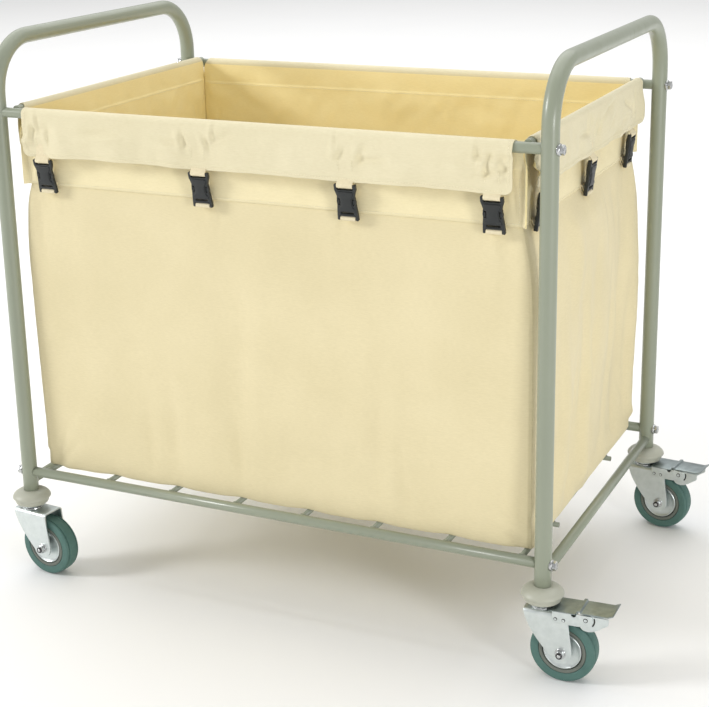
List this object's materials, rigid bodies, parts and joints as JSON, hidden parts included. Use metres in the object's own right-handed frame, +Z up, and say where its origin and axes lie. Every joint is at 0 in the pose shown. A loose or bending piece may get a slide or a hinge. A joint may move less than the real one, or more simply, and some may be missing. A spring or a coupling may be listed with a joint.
{
  "type": "housekeeping cart",
  "caption": "Linen cart with two bent-tube end frames, a slatted base, an open canvas bag buckled over the top rails and swivel casters.",
  "frame": {"origin": "On the floor, at the middle of the footprint that the whole cart and its casters cover.", "axes": "+Z up. +X along the cart, towards the end whose two casters have brake pedals. -Y is the front, the long side with four buckles."},
  "size_m": [1.0554, 0.6476, 0.9137],
  "materials": {
    "frame_paint": "satin grey-green powder coat on steel tube",
    "zinc_plate": "bright zinc plate, slightly mottled",
    "canvas": "plain-woven cream canvas, stitched hems",
    "buckle_plastic": "black moulded plastic with a soft sheen",
    "bumper_plastic": "grey-green moulded plastic",
    "tyre_rubber": "grey-green non-marking rubber"
  },
  "bodies": {
    "frame": {"end_frame_left": "frame_paint", "side_bar_left": "frame_paint", "frame_bolt_left_front_bottom": "zinc_plate", "frame_bolt_left_front_top": "zinc_plate", "frame_bolt_left_rear_bottom": "zinc_plate", "frame_bolt_left_rear_top": "zinc_plate", "end_frame_right": "frame_paint", "side_bar_right": "frame_paint", "frame_bolt_right_front_bottom": "zinc_plate", "frame_bolt_right_front_top": "zinc_plate", "frame_bolt_right_rear_bottom": "zinc_plate", "frame_bolt_right_rear_top": "zinc_plate", "top_rail_front": "frame_paint", "top_rail_rear": "frame_paint", "base_grid": "frame_paint", "bumper_left_front": "bumper_plastic", "caster_stem_left_front": "zinc_plate", "bumper_left_rear": "bumper_plastic", "caster_stem_left_rear": "zinc_plate", "bumper_right_front": "bumper_plastic", "caster_stem_right_front": "zinc_plate", "bumper_right_rear": "bumper_plastic", "caster_stem_right_rear": "zinc_plate", "bag_body": "canvas", "bag_cuff_right": "canvas", "bag_cuff_left": "canvas", "bag_cuff_front": "canvas", "bag_cuff_rear": "canvas", "buckle_front_1": "buckle_plastic", "buckle_front_2": "buckle_plastic", "buckle_front_3": "buckle_plastic", "buckle_front_4": "buckle_plastic", "buckle_rear_1": "buckle_plastic", "buckle_rear_2": "buckle_plastic", "buckle_rear_3": "buckle_plastic", "buckle_rear_4": "buckle_plastic", "buckle_right_1": "buckle_plastic", "buckle_right_2": "buckle_plastic", "buckle_right_3": "buckle_plastic", "buckle_left_1": "buckle_plastic", "buckle_left_2": "buckle_plastic", "buckle_left_3": "buckle_plastic"},
    "caster_left_front": {"caster_fork_left_front": "zinc_plate", "caster_axle_left_front": "zinc_plate"},
    "wheel_left_front": {"wheel_hub_left_front": "zinc_plate", "wheel_tyre_left_front": "tyre_rubber"},
    "caster_left_rear": {"caster_fork_left_rear": "zinc_plate", "caster_axle_left_rear": "zinc_plate"},
    "wheel_left_rear": {"wheel_hub_left_rear": "zinc_plate", "wheel_tyre_left_rear": "tyre_rubber"},
    "caster_right_front": {"caster_fork_right_front": "zinc_plate", "caster_axle_right_front": "zinc_plate"},
    "wheel_right_front": {"wheel_hub_right_front": "zinc_plate", "wheel_tyre_right_front": "tyre_rubber"},
    "brake_right_front": {"brake_pedal_right_front": "zinc_plate"},
    "caster_right_rear": {"caster_fork_right_rear": "zinc_plate", "caster_axle_right_rear": "zinc_plate"},
    "wheel_right_rear": {"wheel_hub_right_rear": "zinc_plate", "wheel_tyre_right_rear": "tyre_rubber"},
    "brake_right_rear": {"brake_pedal_right_rear": "zinc_plate"}
  },
  "joints": [
    {"name": "caster_swivel_left_front", "type": "hinge", "parent": "frame", "child": "caster_left_front", "pos_m": [-0.49617, -0.28899, 0.113], "axis": [0, 0, 1], "continuous": true},
    {"name": "wheel_spin_left_front", "type": "hinge", "parent": "caster_left_front", "child": "wheel_left_front", "pos_m": [-0.46137, -0.29265, 0.05], "axis": [0.1045, 0.9945, 0], "continuous": true},
    {"name": "caster_swivel_left_rear", "type": "hinge", "parent": "frame", "child": "caster_left_rear", "pos_m": [-0.49617, 0.29101, 0.113], "axis": [0, 0, 1], "continuous": true},
    {"name": "wheel_spin_left_rear", "type": "hinge", "parent": "caster_left_rear", "child": "wheel_left_rear", "pos_m": [-0.4616, 0.29649, 0.05], "axis": [-0.1564, 0.9877, 0], "continuous": true},
    {"name": "caster_swivel_right_front", "type": "hinge", "parent": "frame", "child": "caster_right_front", "pos_m": [0.41383, -0.28899, 0.113], "axis": [0, 0, 1], "continuous": true},
    {"name": "wheel_spin_right_front", "type": "hinge", "parent": "caster_right_front", "child": "wheel_right_front", "pos_m": [0.44882, -0.28838, 0.05], "axis": [-0.0175, 0.9998, 0], "continuous": true},
    {"name": "brake_pedal_right_front", "type": "hinge", "parent": "caster_right_front", "child": "brake_right_front", "pos_m": [0.48542, -0.28774, 0.1115], "axis": [-0.0175, 0.9998, 0], "range_deg": [0, 15]},
    {"name": "caster_swivel_right_rear", "type": "hinge", "parent": "frame", "child": "caster_right_rear", "pos_m": [0.41383, 0.29101, 0.113], "axis": [0, 0, 1], "continuous": true},
    {"name": "wheel_spin_right_rear", "type": "hinge", "parent": "caster_right_rear", "child": "wheel_right_rear", "pos_m": [0.44849, 0.28614, 0.05], "axis": [0.1392, 0.9903, 0], "continuous": true},
    {"name": "brake_pedal_right_rear", "type": "hinge", "parent": "caster_right_rear", "child": "brake_right_rear", "pos_m": [0.48473, 0.28105, 0.1115], "axis": [0.1392, 0.9903, 0], "range_deg": [0, 15]}
  ]
}
